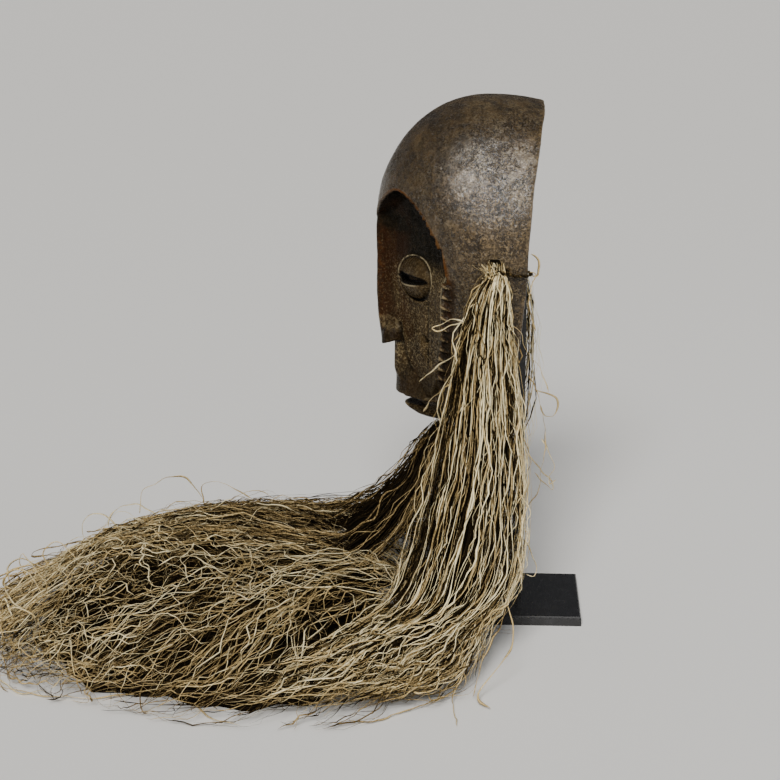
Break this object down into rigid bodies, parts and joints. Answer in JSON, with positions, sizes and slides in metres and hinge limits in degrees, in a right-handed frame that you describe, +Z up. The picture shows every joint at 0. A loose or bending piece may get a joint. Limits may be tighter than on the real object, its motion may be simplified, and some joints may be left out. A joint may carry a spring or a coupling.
{
  "type": "carved wooden face mask with raffia beard on its display stand",
  "caption": "Carved wooden face mask with a heart-shaped face, slit eyes, long nose and a long raffia beard, on a small steel stand.",
  "frame": {"origin": "centre of the stand plate's underside", "axes": "+Z up, the face looks along -Y, +X is the wearer's left"},
  "size_m": [0.4001, 0.477, 0.415],
  "materials": {
    "carved_wood": "dark brown with a grey and tan patina, worn satin",
    "raffia": "dry straw-coloured fibre, matt",
    "tie_cord": "twisted dry fibre, matt",
    "stand_steel": "satin black"
  },
  "bodies": {
    "root": {"mask": "carved_wood", "stand_plate": "stand_steel", "stand_bar": "stand_steel", "beard_left": "raffia", "beard_right": "raffia", "beard_chin": "raffia", "beard_heap": "raffia", "tie_left": "tie_cord", "tie_right": "tie_cord"}
  },
  "joints": []
}
